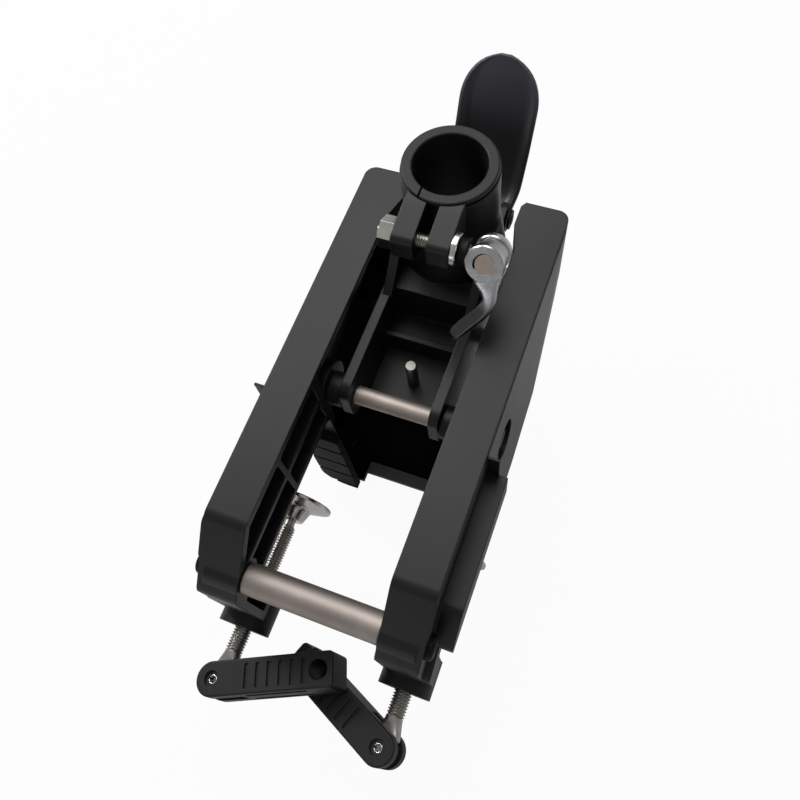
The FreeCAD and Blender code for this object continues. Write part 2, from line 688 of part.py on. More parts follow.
def make_tilt_bracket():
    bracket = new_body("tilt_bracket")
    round_end = "pivot_nose - 0.5"
    cheeks = outline(bracket, "CheekSide", "YZ", [
        ("-(pivot_reach + pivot_nose)", "-(pivot_drop - pivot_cheek)", round_end),
        ("-(pivot_reach + pivot_nose)", "-(pivot_drop + pivot_cheek)", round_end),
        ("-(floor_reach + 3)", "-(pivot_drop + pivot_cheek)", "4"),
        ("-(floor_reach - 3)", "-bracket_bottom", "4"),
        ("0", "-bracket_bottom"),
        ("0", "-(pivot_drop - pivot_cheek)"),
    ])
    pad(bracket, cheeks, "2 * cheek_outer", middle=True)
    well = outline(bracket, "OpenWell", "XY", box("-cheek_inner", "cheek_inner",
                                                  "-(pivot_reach + pivot_cheek + 1)", "-floor_reach"))
    pocket(bracket, well, "bracket_bottom + 1")
    lower = outline(bracket, "LowerWell", "XY", box("-cheek_inner", "cheek_inner", "-(floor_reach + 1)",
                                                    "-(rib_reach + bracket_rib / 2)"))
    pocket(bracket, lower, "bracket_bottom - floor_thick")
    upper = outline(bracket, "UpperWell", "XY", box("-cheek_inner", "cheek_inner",
                                                    "-(rib_reach - bracket_rib / 2)", "-cheek_wall_reach"))
    pocket(bracket, upper, "upper_floor")
    rib = outline(bracket, "RibTop", "XY", box("-cheek_inner", "cheek_inner",
                                               "-(rib_reach + bracket_rib)", "-(rib_reach - bracket_rib)"))
    pocket(bracket, rib, "rib_top")
    doc.recompute()

    # collar with its wider foot
    half = outline(bracket, "CollarHalf", "XZ", [
        ("0", "-bracket_bottom"),
        ("collar_foot_radius", "-bracket_bottom", "1.5"),
        ("collar_foot_radius", "-cheek_top", "12"),
        ("collar_radius", "collar_foot_top", "20"),
        ("collar_radius", "collar_top"),
        ("0", "collar_top"),
    ])
    collar = bracket.newObject("PartDesign::Revolution", "Collar")
    collar.Profile = half
    collar.ReferenceAxis = (half, ["V_Axis"])
    collar.Angle = 360
    for side, name in ((1, "RightGusset"), (-1, "LeftGusset")):
        web = outline(bracket, name, "YZ", [
            ("-(cheek_wall_reach + 5)", "-cheek_top - 1"),
            ("0", "-cheek_top - 1"),
            ("0", "-cheek_top + gusset_rise + 4"),
            ("-(collar_radius - 4)", "-cheek_top + gusset_rise", "3"),
            ("-(cheek_wall_reach + 5)", "-cheek_top"),
        ], f"{side} * (cheek_outer - 5)")
        pad(bracket, web, "4", backwards=side < 0)
    ears = outline(bracket, "Ears", "YZ", [
        ("-(bolt_reach + ear_front)", "bolt_rise + ear_radius - ear_slope", "3"),
        ("-(bolt_reach + ear_front)", "bolt_rise - ear_radius", "4"),
        ("-collar_radius / 2", "bolt_rise - ear_radius"),
        ("-collar_radius / 2", "bolt_rise + ear_radius"),
        ("-collar_radius", "bolt_rise + ear_radius", "4"),
    ])
    pad(bracket, ears, "2 * ear_side", middle=True)
    lugs = outline(bracket, "Lugs", "YZ", [
        ("collar_radius / 2", "-(paddle_pivot_drop - paddle_hub - 1)"),
        ("collar_radius / 2", "-(paddle_pivot_drop + paddle_hub + 1)"),
        ("paddle_pivot_back + paddle_hub + 1", "-(paddle_pivot_drop + paddle_hub + 1)", "paddle_hub + 0.8"),
        ("paddle_pivot_back + paddle_hub + 1", "-(paddle_pivot_drop - paddle_hub - 1)", "paddle_hub + 0.8"),
    ])
    pad(bracket, lugs, "2 * lug_half", middle=True)

    # cuts
    pocket(bracket, outline(bracket, "LugGap", "XY", box("-lug_gap", "lug_gap", "collar_foot_radius + 0.5",
                                                         "paddle_pivot_back + 2 * paddle_hub")),
           "bracket_bottom + 1")
    pocket(bracket, ring(bracket, "FlangeSeat", "XY", "0", "0", "bushing_flange + 0.3",
                         "collar_top + 2 * ear_radius"), "2 * ear_radius")
    pocket(bracket, ring(bracket, "CollarBore", "XY", "0", "0", "bushing_radius + play", "collar_top + 1"),
           "collar_top + bracket_bottom + 2")
    pocket(bracket, outline(bracket, "EarSlot", "XY", box("-ear_slot / 2", "ear_slot / 2",
                                                          "-(bolt_reach + ear_radius + 1)", "-shaft_radius / 2"),
                            "bolt_rise + ear_radius + 1"), "ear_slot_depth")
    pocket(bracket, ring(bracket, "BoltHole", "YZ", "-bolt_reach", "bolt_rise", "bolt_radius + play"),
           "2 * ear_side + 2", middle=True)
    pocket(bracket, ring(bracket, "BushHoles", "YZ", "-pivot_reach", "-pivot_drop", "pivot_radius + 1.2 + 0.02"),
           "2 * cheek_outer + 2", middle=True)
    pocket(bracket, ring(bracket, "PaddlePinHole", "YZ", "paddle_pivot_back", "-paddle_pivot_drop",
                         "paddle_pin_radius + turn_play"), "2 * lug_half + 2", middle=True)
    pocket(bracket, ring(bracket, "StopPinHole", "XY", "0", "-stop_pin_reach", "stop_pin_radius + 0.02",
                         "-(bracket_bottom - floor_thick - 1)"), "floor_thick + 2")
    pieces["tilt_bracket"] = bracket

    pieces["tilt_stop_pin"] = turned("tilt_stop_pin", ("0", "-stop_pin_reach", "-bracket_bottom"), along_z, [
        ("0", "0"),
        ("bracket_bottom - stop_pin_top", "0"),
        ("bracket_bottom - stop_pin_top", "stop_pin_radius", "0.5"),
        ("0", "stop_pin_radius"),
    ])


def make_bushing():
    bushing = turned("shaft_bushing", ("0", "0", "0"), along_z, [
        ("-bracket_bottom", "shaft_radius"),
        ("collar_top + bushing_flange_thick", "shaft_radius", "0.8"),
        ("collar_top + bushing_flange_thick", "bushing_flange", "0.8"),
        ("collar_top + 0.9", "bushing_flange"),
        ("collar_top + 0.9", "bushing_flange - 1.2"),
        ("collar_top + 0.02", "bushing_flange - 1.2"),
        ("collar_top + 0.02", "bushing_radius"),
        ("-bracket_bottom", "bushing_radius"),
    ])
    split = outline(bushing, "BushingSplit", "XY", box("-(bracket_bottom + 1)", "collar_top + bushing_flange_thick + 1",
                                                       "bushing_split_side - bushing_split / 2",
                                                       "bushing_split_side + bushing_split / 2"))
    pocket(bushing, split, "bushing_flange + 1", forwards=True)
    # the split faces inboard
    bushing.Placement = Placement(Vector(0, 0, 0), upright())
    pieces["shaft_bushing"] = bushing


def upright():
    # own X to Z, own Y to minus X, own Z to minus Y
    turn = FreeCAD.Matrix(0, -1, 0, 0, 0, 0, -1, 0, 1, 0, 0, 0, 0, 0, 0, 1)
    return Placement(turn).Rotation


def cam_turn():
    # own Z along the cam pin, tilted up and inboard; own X stays across
    return Rotation(Vector(1, 0, 0), 90 - value("cam_tilt"))


def make_quick_release():
    at = ("0", "-bolt_reach", "bolt_rise")
    bolt = turned("collar_bolt", at, cam_turn(), [
        ("-(ear_side + nut_thick + 1.5)", "0"),
        ("cam_reach - cam_pin_radius - 1", "0"),
        ("cam_reach - cam_pin_radius - 1", "bolt_radius"),
        ("-(ear_side + nut_thick + 1.5)", "bolt_radius", "0.5"),
    ])
    pad(bolt, ring(bolt, "BoltEye", "XY", "cam_reach", "0", "cam_radius - 3 * eye_play"),
        "cam_slot - 2 * eye_play", middle=True)
    pocket(bolt, ring(bolt, "BoltEyeHole", "XY", "cam_reach", "0", "cam_pin_radius + turn_play"), "cam_width",
           middle=True)
    pieces["collar_bolt"] = bolt
    nut_turn = Rotation(Vector(0, 1, 0), -90)
    pieces["collar_nut"] = make_nut("collar_nut", ("-ear_side", "-bolt_reach", "bolt_rise"), nut_turn,
                                    "nut_across", "nut_thick", "bolt_radius + 0.02")
    pieces["collar_washer"] = turned("collar_washer", at, along_x, [
        ("ear_side", "bolt_radius + play"),
        ("ear_side + washer_thick", "bolt_radius + play"),
        ("ear_side + washer_thick", "washer_radius", "0.5"),
        ("ear_side", "washer_radius", "0.5"),
    ])
    seat_end = "cam_reach - cam_radius - cam_offset - side_play"
    pieces["cam_seat"] = turned("cam_seat", at, along_x, [
        ("ear_side + washer_thick", "bolt_radius + play"),
        (seat_end, "bolt_radius + play"),
        (seat_end, "washer_radius - 0.8", "0.5"),
        ("ear_side + washer_thick", "washer_radius - 1.8", "0.3"),
    ])
    pin = turned("cam_pin", ("cam_reach", "-bolt_reach", "bolt_rise"), cam_turn().multiply(along_z), [
        ("-cam_width / 2", "0"),
        ("cam_width / 2", "0"),
        ("cam_width / 2", "cam_pin_radius", "0.3"),
        ("-cam_width / 2", "cam_pin_radius", "0.3"),
    ])
    pieces["cam_pin"] = pin

    lever = new_body("quick_release_lever")
    head = ring(lever, "CamHead", "XY", "-cam_offset", "0", "cam_radius")
    pad(lever, head, "cam_width", middle=True)
    root = outline(lever, "LeverRoot", "XY", [
        ("-4.2", "-4.6"),
        ("cam_radius - 0.8", "-4.6"),
        ("cam_radius - 1", "-(cam_radius + 2.6)", "2"),
        ("0.8", "-(cam_radius + 2.6)", "1.5"),
    ])
    pad(lever, root, "cam_width", middle=True)
    blade = outline(lever, "LeverBlade", "XY", [
        ("cam_radius - 0.7", "0", "2"),
        ("-cam_radius + 1.3", "0", "2"),
        ("-5.4", "-3.9", "2"),
        ("3.3", "-12.6", "5"),
        ("-9.6", "-(lever_drop - 2.8)", "1.2"),
        ("-7.4", "-(lever_drop + 0.9)", "1.8"),
        ("cam_radius - 1.3", "-11.6", "12"),
    ], "cam_width / 2 - blade_width")
    pad(lever, blade, "blade_width")
    pocket(lever, ring(lever, "CamPinHole", "XY", "0", "0", "cam_pin_radius + turn_play"), "cam_width + 2", middle=True)
    pocket(lever, fork_gap(lever), "cam_slot", middle=True)
    pocket(lever, ring(lever, "EyeRoom", "XY", "0", "0", "cam_radius - 2 * eye_play"), "cam_slot", middle=True)
    place(lever, ("cam_reach", "-bolt_reach", "bolt_rise"), cam_turn())
    pieces["quick_release_lever"] = lever


def fork_gap(lever):
    # the gap between the two cheeks, open all round but for the root of the blade
    return outline(lever, "ForkGap", "XY", [
        ("-(cam_radius + 4)", "cam_radius + 2"),
        ("-(cam_radius + 4)", "-(cam_radius + 0.5)"),
        ("0", "-(cam_radius - 2.5)", "1"),
        ("cam_radius + 2", "-(cam_radius - 2.5)"),
        ("cam_radius + 2", "cam_radius + 2"),
    ])


def make_paddle():
    # spoon-shaped lever behind the collar
    paddle = new_body("tilt_lock_lever")
    shift_back, shift_down = "paddle_thick * 0.8", "paddle_thick * 0.6"
    inner = [
        ("paddle_pivot_back", "-paddle_pivot_drop + paddle_hub - 1"),
        ("paddle_pivot_back + 16", "-paddle_pivot_drop + 12", "24"),
        ("paddle_back - 13", "paddle_rise - 20", "40"),
        ("paddle_back - " + shift_back, "paddle_rise + " + shift_down),
    ]
    outer = [
        ("paddle_back", "paddle_rise"),
        ("paddle_back - 13 + " + shift_back, "paddle_rise - 20 - " + shift_down, "44"),
        ("paddle_pivot_back + 16 + " + shift_back, "-paddle_pivot_drop + 12 - " + shift_down, "24"),
        ("paddle_pivot_back", "-paddle_pivot_drop - paddle_hub + 1"),
    ]
    blade = outline(paddle, "PaddleSide", "YZ", inner[:1] + outer[::-1] + inner[:0:-1])
    pad(paddle, blade, "2 * paddle_half", middle=True)
    tip = outline(paddle, "PaddleTip", "XZ", [
        ("-(paddle_half + 0.2)", "paddle_rise - 21.4"),
        ("-(paddle_half - 0.8)", "paddle_rise - 5.7", "16"),
        ("-paddle_half / 2", "paddle_rise + 3.2", "14"),
        ("paddle_half / 2", "paddle_rise + 3.2", "14"),
        ("paddle_half - 0.8", "paddle_rise - 5.7", "16"),
        ("paddle_half + 0.2", "paddle_rise - 21.4"),
        ("paddle_half + 4", "paddle_rise - 21.4"),
        ("paddle_half + 4", "paddle_rise + 6"),
        ("-(paddle_half + 4)", "paddle_rise + 6"),
        ("-(paddle_half + 4)", "paddle_rise - 21.4"),
    ])
    pocket(paddle, tip, "4 * paddle_back", middle=True)
    hub = ring(paddle, "PaddleHub", "YZ", "paddle_pivot_back", "-paddle_pivot_drop", "paddle_hub")
    pad(paddle, hub, "2 * paddle_half", middle=True)
    # slots for the bracket's two lugs
    lug_slot = outline(paddle, "LugSlot", "XY", box("lug_gap - side_play * 2", "lug_half + side_play * 2",
                                                    "paddle_pivot_back - 2 * paddle_hub",
                                                    "paddle_pivot_back + paddle_hub + 3"), "-60")
    first = pocket(paddle, lug_slot, "80", forwards=True)
    twin = paddle.newObject("PartDesign::Mirrored", "LugSlotTwin")
    twin.Originals = [first]
    planes = {feature.Role: feature for feature in paddle.Origin.OriginFeatures}
    twin.MirrorPlane = (planes["YZ_Plane"], [""])
    paddle.Tip = twin
    pocket(paddle, ring(paddle, "PaddleHole", "YZ", "paddle_pivot_back", "-paddle_pivot_drop",
                        "paddle_pin_radius + turn_play"), "2 * paddle_half + 2", middle=True)
    # the hub's ends step in, so that the clips stay within the blade's width
    pocket(paddle, ring(paddle, "RightClipRoom", "YZ", "paddle_pivot_back", "-paddle_pivot_drop",
                        "paddle_hub + clip_room", "paddle_half - clip_room"), "clip_room + 1", forwards=True)
    pocket(paddle, ring(paddle, "LeftClipRoom", "YZ", "paddle_pivot_back", "-paddle_pivot_drop",
                        "paddle_hub + clip_room", "-(paddle_half - clip_room)"), "clip_room + 1")
    # room for the spring beside the hub's middle
    pocket(paddle, ring(paddle, "SpringRoom", "YZ", "paddle_pivot_back", "-paddle_pivot_drop",
                        "paddle_hub + 1", "-lug_gap"), "lug_gap / 2", forwards=True)
    pieces["tilt_lock_lever"] = paddle

    pin_end = "paddle_half - 0.1"
    pieces["lever_pivot_pin"] = turned("lever_pivot_pin", ("0", "paddle_pivot_back", "-paddle_pivot_drop"), along_x, [
        ("-(" + pin_end + ")", "0"),
        (pin_end, "0"),
        (pin_end, "paddle_pin_radius", "0.4"),
        ("-(" + pin_end + ")", "paddle_pin_radius", "0.4"),
    ])
    clip = turned("lever_pin_clip", ("0", "paddle_pivot_back", "-paddle_pivot_drop"), along_x,
                  tube("paddle_half - clip_room + play", "paddle_half - clip_room + play + 0.9",
                       "paddle_pin_radius + 0.02", "paddle_pin_radius + 2"))
    pieces["lever_pin_clips"] = group("lever_pin_clips", [clip, mirrored("lever_pin_clip_left", clip)])
    make_spring()


def make_spring():
    # wire wound round the lever's pin; its section has ten flats in place of a round
    wire, turns = value("spring_wire"), value("spring_turns")
    coil = value("paddle_pin_radius + 0.4") + wire
    pitch = value("lug_gap / 2 - 2") / turns
    helix = Part.makeHelix(pitch, pitch * turns, coil)
    rim = [Rotation(Vector(0, 1, 0), 36 * step).multVec(Vector(wire, 0, 0)) + Vector(coil, 0, 0) for step in range(11)]
    spring = doc.addObject("Part::Feature", "lever_spring")
    spring.Label = "lever_spring"
    spring.Shape = Part.Wire(helix).makePipeShell([Part.makePolygon(rim)], True, True)
    place(spring, ("-lug_gap + 1", "paddle_pivot_back", "-paddle_pivot_drop"), Rotation(Vector(0, 1, 0), 90))
    pieces["lever_spring"] = spring


def make_clamp_screw(side, word):
    # own X runs along the screw from the handle's pivot to the pad, own Z along the handle's pin
    turn = Rotation(Vector(0, 1, 0), value("screw_turn")).multiply(along_y)
    at = (f"{side} * screw_side", "-" + handle_reach, "-screw_drop")
    length = f"({handle_reach} - pad_face_reach)"
    screw = turned(word + "_clamp_screw", at, turn, [
        ("neck_length", "0"),
        (length + " - 3.4", "0"),
        (length + " - 3.4", "3.8", "1.2"),
        (length + " - 8.2", "3.8", "0.8"),
        (length + " - 8.2", "2.6"),
        (length + " - pad_hub_length - 2.5", "2.6"),
        (length + " - pad_hub_length - 3.5", "screw_radius", "0.6"),
        ("neck_length + 1.2", "screw_radius", "1"),
        ("neck_length", "neck_thick / 2 - 0.2"),
    ])
    neck = outline(screw, word + "Neck", "XY", box("0", "neck_length + 0.2", "-screw_radius + 0.2", "screw_radius - 0.2"))
    pad(screw, neck, "neck_thick", middle=True)
    pad(screw, ring(screw, word + "Eye", "XY", "0", "0", "eye_radius"), "neck_thick", middle=True)
    pocket(screw, ring(screw, word + "EyeHole", "XY", "0", "0", "handle_pin_radius + turn_play"),
           "neck_thick + 2", middle=True)
    pieces[word + "_clamp_screw"] = screw

    shoe = turned(word + "_clamp_pad", (f"{side} * screw_side", "-pad_face_reach", "-screw_drop"), along_y, [
        ("-pad_hub_length", "2.8"),
        ("-8.6", "2.8"),
        ("-8.6", "4"),
        ("-3.1", "4"),
        ("-3.1", "0"),
        ("-1.2", "0"),
        ("-1.2", "pad_hub_radius + 2"),
        ("0", "pad_radius - 1.2"),
        ("0", "pad_radius", "0.5"),
        ("-1.6", "pad_radius", "0.5"),
        ("-4.2", "pad_hub_radius + 0.6", "2"),
        ("-pad_hub_length", "pad_hub_radius - 1.4", "0.8"),
    ])
    pieces[word + "_clamp_pad"] = shoe


def make_handle(side, word):
    # own X from the pivot to the square end, own Z along the pin
    handle = new_body(word + "_screw_handle")
    half = "handle_width / 2"
    bar = outline(handle, word + "Bar", "XY", [
        ("0", "-" + half),
        ("handle_length", "-" + half, "2"),
        ("handle_length", half, "2"),
        ("handle_length - 6", half, "1"),
        ("handle_length - 7.5", half + " + 1.4", "0.8"),
        ("handle_length - 11", half + " + 1.4", "0.8"),
        ("handle_length - 12.5", half, "1"),
        ("0", half),
    ])
    pad(handle, bar, "handle_thick", middle=True)
    pad(handle, ring(handle, word + "Round", "XY", "0", "0", half), "handle_thick", middle=True)
    top = value("handle_thick / 2")
    rounded(handle, word + "Edges", "0.8",
            lambda p, e: close(abs(p.z), top))
    pocket(handle, outline(handle, word + "Slot", "XY", box("-handle_width", "slot_length", "-handle_width",
                                                           "handle_width")), "neck_thick + 2 * side_play", middle=True)
    for level, name in ((1, "Upper"), (-1, "Lower")):
        face = f"{level} * handle_thick / 2"
        pocket(handle, outline(handle, word + name + "Side", "XY", [
            ("slot_length + 2", "-" + half + " + 2.2"),
            ("padlock_reach - padlock_radius - 2", "-" + half + " + 2.2"),
            ("padlock_reach - padlock_radius - 2", "-" + half + " - 1"),
            ("slot_length + 2", "-" + half + " - 1"),
        ], f"{level} * neck_thick / 2"), "handle_thick / 2 - neck_thick / 2 - 2.2", forwards=level > 0)
        pocket(handle, ring(handle, word + name + "Seat", "XY", "0", "0", "pin_seat_radius", face),
               "pin_seat_depth", forwards=level < 0)
        groove = outline(handle, word + name + "Groove", "XY", box(
            "groove_start - groove_width / 2", "groove_start + groove_width / 2",
            "-groove_length / 2", "groove_length / 2"), face)
        cut = pocket(handle, groove, "groove_depth", forwards=level < 0)
        rows = handle.newObject("PartDesign::LinearPattern", word + name + "Grooves")
        rows.Originals = [cut]
        rows.Direction = (groove, ["H_Axis"])
        bind(rows, "Length", "groove_pitch * (groove_count - 1)")
        bind(rows, "Occurrences", "groove_count")
        handle.Tip = rows
    pocket(handle, ring(handle, word + "PinHole", "XY", "0", "0", "handle_pin_radius + 0.02"),
           "handle_thick + 2", middle=True)
    pocket(handle, ring(handle, word + "Padlock", "XY", "padlock_reach", "0", "padlock_radius"),
           "handle_thick + 2", middle=True)
    fold = value("handle_fold")
    turn = Rotation(Vector(0, 0, 1), fold)
    if side > 0:
        turn = Rotation(Vector(0, 0, 1), 180 - fold).multiply(Rotation(Vector(1, 0, 0), 180))
    turn = Rotation(Vector(0, 1, 0), value("screw_turn")).multiply(turn)
    at = (f"{side} * screw_side", "-" + handle_reach, "-screw_drop")
    place(handle, at, turn)
    pieces[word + "_screw_handle"] = handle

    pin = turned(word + "_handle_pin", at, Rotation(Vector(0, 1, 0), value("screw_turn")).multiply(along_z), [
        ("-(handle_thick / 2 - pin_seat_depth - 0.2)", "handle_pin_radius - 0.7"),
        ("handle_thick / 2 - pin_seat_depth - 0.2", "handle_pin_radius - 0.7"),
        ("handle_thick / 2 - pin_seat_depth + 0.3", "handle_pin_radius", "0.3"),
        ("-(handle_thick / 2 - pin_seat_depth + 0.3)", "handle_pin_radius", "0.3"),
    ])
    slit = outline(pin, word + "Slit", "XY", box("-handle_thick", "handle_thick", "-0.4", "0.4"))
    pocket(pin, slit, "handle_pin_radius + 1", forwards=True)
    pieces[word + "_handle_pin"] = pin


make_arm()
make_cross_pieces()
make_transom_pads()
make_pivot()
make_tilt_bracket()
make_bushing()
make_quick_release()
make_paddle()
for side, word in ((-1, "left"), (1, "right")):
    make_clamp_screw(side, word)
    make_handle(side, word)
doc.recompute()

faults = []
for thing in doc.Objects:
    if "Invalid" in thing.State or "Error" in thing.State:
        faults.append(f"{thing.Label} is {thing.State}")
    elif thing.TypeId == "PartDesign::Pocket":
        if thing.Shape.Volume > thing.BaseFeature.Shape.Volume - 0.01:
            faults.append(f"{thing.Label} cuts nothing")
for label, piece in pieces.items():
    if piece.Shape.isNull() or not piece.Shape.isValid():
        faults.append(f"{label} has no valid shape")
if faults:
    raise SystemExit("\n".join(faults))

os.makedirs("parts", exist_ok=True)
for label, piece in pieces.items():
    piece.Shape.exportStep(f"parts/{label}.step")
    low, high = piece.Shape.BoundBox, piece.Shape.Volume
    print(f"{label}: {len(piece.Shape.Solids)} solid, {high:.0f} mm3, "
          f"x {low.XMin:.1f}..{low.XMax:.1f} y {low.YMin:.1f}..{low.YMax:.1f} z {low.ZMin:.1f}..{low.ZMax:.1f}")
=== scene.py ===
import bpy
import bmesh
import json
from math import cos, hypot, pi, radians, sin
from mathutils import Matrix, Vector


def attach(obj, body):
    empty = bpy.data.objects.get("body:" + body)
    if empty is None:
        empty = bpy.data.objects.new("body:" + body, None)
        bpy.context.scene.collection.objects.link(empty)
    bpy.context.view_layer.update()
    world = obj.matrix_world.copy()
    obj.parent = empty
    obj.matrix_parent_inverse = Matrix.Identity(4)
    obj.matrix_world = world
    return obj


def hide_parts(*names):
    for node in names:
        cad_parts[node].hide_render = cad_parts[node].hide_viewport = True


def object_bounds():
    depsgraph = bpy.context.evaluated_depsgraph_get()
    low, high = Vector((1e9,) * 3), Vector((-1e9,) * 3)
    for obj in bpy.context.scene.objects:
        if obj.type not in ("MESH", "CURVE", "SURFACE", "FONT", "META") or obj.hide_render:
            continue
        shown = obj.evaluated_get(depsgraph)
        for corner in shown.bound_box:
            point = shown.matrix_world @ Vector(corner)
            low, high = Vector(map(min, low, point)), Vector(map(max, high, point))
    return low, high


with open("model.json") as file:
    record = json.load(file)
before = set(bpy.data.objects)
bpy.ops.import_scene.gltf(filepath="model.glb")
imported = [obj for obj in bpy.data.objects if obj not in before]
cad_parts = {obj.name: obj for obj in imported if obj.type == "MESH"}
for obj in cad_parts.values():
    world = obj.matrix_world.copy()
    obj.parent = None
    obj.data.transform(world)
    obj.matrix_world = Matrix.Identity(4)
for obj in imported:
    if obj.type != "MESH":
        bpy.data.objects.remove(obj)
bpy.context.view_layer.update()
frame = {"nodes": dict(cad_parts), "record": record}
nodes = frame["nodes"]
scene = bpy.context.scene
print("frame loaded:", len(nodes), "nodes")


# colour and node helpers

def toLinear(hexColour):
    channels = [int(hexColour[i:i + 2], 16) / 255 for i in (1, 3, 5)]
    return [c / 12.92 if c <= 0.04045 else ((c + 0.055) / 1.055) ** 2.4 for c in channels] + [1]


def addNode(tree, kind, settings=None, links=None):
    node = tree.nodes.new("ShaderNode" + kind)
    for key, value in (settings or {}).items():
        if isinstance(key, int) or key in node.inputs:
            node.inputs[key].default_value = value
        else:
            setattr(node, key, value)
    for key, source in (links or {}).items():
        tree.links.new(source, node.inputs[key])
    return node


def newMaterial(name):
    material = bpy.data.materials.new(name)
    material.use_nodes = True
    tree = material.node_tree
    tree.nodes.clear()
    return material, tree


def perMetre(millimetres):
    # a noise texture at scale 1 has features about a metre apart here
    return 1000 / millimetres


# numbers that all finishes share
surface = {
    "bevelSamples": 6,
    "rampEnds": (0.3, 0.7),  # noise where the dark colour ends and where the light one starts
    "edgeDots": (0.995, 0.86),  # real normal against the rounded one, where wear starts and where it is full
    "leastWear": 0.2,
    "coatSpread": 0.05,  # of the roughness, up and down
    "metalSpread": 0.08,
    "coatBump": 0.0002,  # metres of relief for each millimetre of grain
    "metalBump": 0.0001,
}


def edgeWear(tree, look, grain):
    # how far the coat is worn: outside edges only, broken up by the grain
    start, full = surface["edgeDots"]
    rounded = addNode(tree, "Bevel", {"samples": surface["bevelSamples"], "Radius": look["edgeMm"] / 1000})
    flat = addNode(tree, "NewGeometry")
    dot = addNode(tree, "VectorMath", {"operation": "DOT_PRODUCT"},
                  {0: rounded.outputs["Normal"], 1: flat.outputs["Normal"]})
    edge = addNode(tree, "MapRange", {"From Min": start, "From Max": full}, {"Value": dot.outputs["Value"]})
    patchy = addNode(tree, "MapRange", {"To Min": surface["leastWear"], "To Max": look["wear"]}, {"Value": grain})
    worn = addNode(tree, "Math", {"operation": "MULTIPLY"},
                   {0: edge.outputs["Result"], 1: patchy.outputs["Result"]})
    return worn.outputs["Value"]


def baseColour(tree, place, look, noise):
    # dark and light cloud into each other; a look with a direction goes over to a third colour along it, which in
    # every look here is painted light or shade
    ramp = addNode(tree, "ValToRGB", links={"Fac": noise})
    for element, position, shade in zip(ramp.color_ramp.elements, surface["rampEnds"], ("dark", "light")):
        element.position = position
        element.color = toLinear(look[shade])
    if "along" not in look:
        return ramp.outputs["Color"]
    reach = addNode(tree, "VectorMath", {"operation": "DOT_PRODUCT", 1: look["along"]}, {0: place})
    span = {"interpolation_type": "SMOOTHSTEP", "From Min": look["fromMm"] / 1000, "From Max": look["toMm"] / 1000}
    factor = addNode(tree, "MapRange", span, {"Value": reach.outputs["Value"]})
    tint = addNode(tree, "Mix", {"data_type": "RGBA", "B": toLinear(look["far"])},
                   {"Factor": factor.outputs["Result"], "A": ramp.outputs["Color"]})
    return tint.outputs["Result"]


def grainNormal(tree, look, height, relief):
    # rounded edges with the grain on them
    soft = addNode(tree, "Bevel", {"samples": surface["bevelSamples"], "Radius": look["edgeMm"] / 1000})
    bump = addNode(tree, "Bump", {"Strength": look["bump"], "Distance": relief},
                   {"Height": height, "Normal": soft.outputs["Normal"]})
    return bump.outputs["Normal"]


def makeCoated(name, look):
    # paint or moulded plastic: one colour that varies a little, a grain, softened edges
    material, tree = newMaterial(name)
    place = addNode(tree, "TexCoord").outputs["Object"]
    cloud = addNode(tree, "TexNoise", {"Scale": perMetre(look["cloudMm"]), "Detail": 4, "Roughness": 0.6},
                    {"Vector": place}).outputs["Fac"]
    grain = addNode(tree, "TexNoise", {"Scale": perMetre(look["grainMm"]), "Detail": 3, "Roughness": 0.55},
                    {"Vector": place}).outputs["Fac"]
    colour = addNode(tree, "Mix", {"data_type": "RGBA", "B": toLinear(look["worn"])},
                     {"Factor": edgeWear(tree, look, grain), "A": baseColour(tree, place, look, cloud)})
    least, most = look["roughness"] - surface["coatSpread"], look["roughness"] + surface["coatSpread"]
    roughness = addNode(tree, "MapRange", {"To Min": least, "To Max": most}, {"Value": cloud})
    normal = grainNormal(tree, look, grain, look["grainMm"] * surface["coatBump"])
    shader = addNode(tree, "BsdfPrincipled", {"Metallic": 0, "IOR": look["ior"]}, {
        "Base Color": colour.outputs["Result"], "Roughness": roughness.outputs["Result"], "Normal": normal})
    addNode(tree, "OutputMaterial", links={"Surface": shader.outputs[0]})
    return material


def makeMetal(name, look):
    # bare metal: marks along one direction, softened edges, dull film that comes and goes
    material, tree = newMaterial(name)
    place = addNode(tree, "TexCoord").outputs["Object"]
    stretched = addNode(tree, "Mapping", {"Scale": look["stretch"]}, {"Vector": place})
    marks = addNode(tree, "TexNoise", {"Scale": perMetre(look["markMm"]), "Detail": 5, "Roughness": 0.65},
                    {"Vector": stretched.outputs["Vector"]}).outputs["Fac"]
    film = addNode(tree, "TexNoise", {"Scale": perMetre(look["filmMm"]), "Detail": 3},
                   {"Vector": place}).outputs["Fac"]
    streaks = addNode(tree, "MapRange", {"To Min": 0, "To Max": look["wear"]}, {"Value": marks})
    colour = addNode(tree, "Mix", {"data_type": "RGBA", "B": toLinear(look["worn"])},
                     {"Factor": streaks.outputs["Result"], "A": baseColour(tree, place, look, film)})
    least, most = look["roughness"] - surface["metalSpread"], look["roughness"] + surface["metalSpread"]
    roughness = addNode(tree, "MapRange", {"To Min": least, "To Max": most}, {"Value": marks})
    normal = grainNormal(tree, look, marks, look["markMm"] * surface["metalBump"])
    shader = addNode(tree, "BsdfPrincipled", {"Metallic": 1}, {
        "Base Color": colour.outputs["Result"], "Roughness": roughness.outputs["Result"], "Normal": normal})
    addNode(tree, "OutputMaterial", links={"Surface": shader.outputs[0]})
    return material


# a pixel of the photograph's view is about 0.4 mm, and the real spark texture, brushing, turning marks and
# pits are finer than that, so they are drawn coarser than they are, at 0.35 to 0.7 mm

# satin powder coat on die-cast aluminium: deep black, grey where a face looks at the light, faint orange peel
powderCoat = {
    "dark": "#0c0d0e", "light": "#121314", "worn": "#2c2d2f", "wear": 0.5, "cloudMm": 30, "grainMm": 0.8,
    "edgeMm": 0.7, "roughness": 0.42, "bump": 0.12, "ior": 1.38,
}
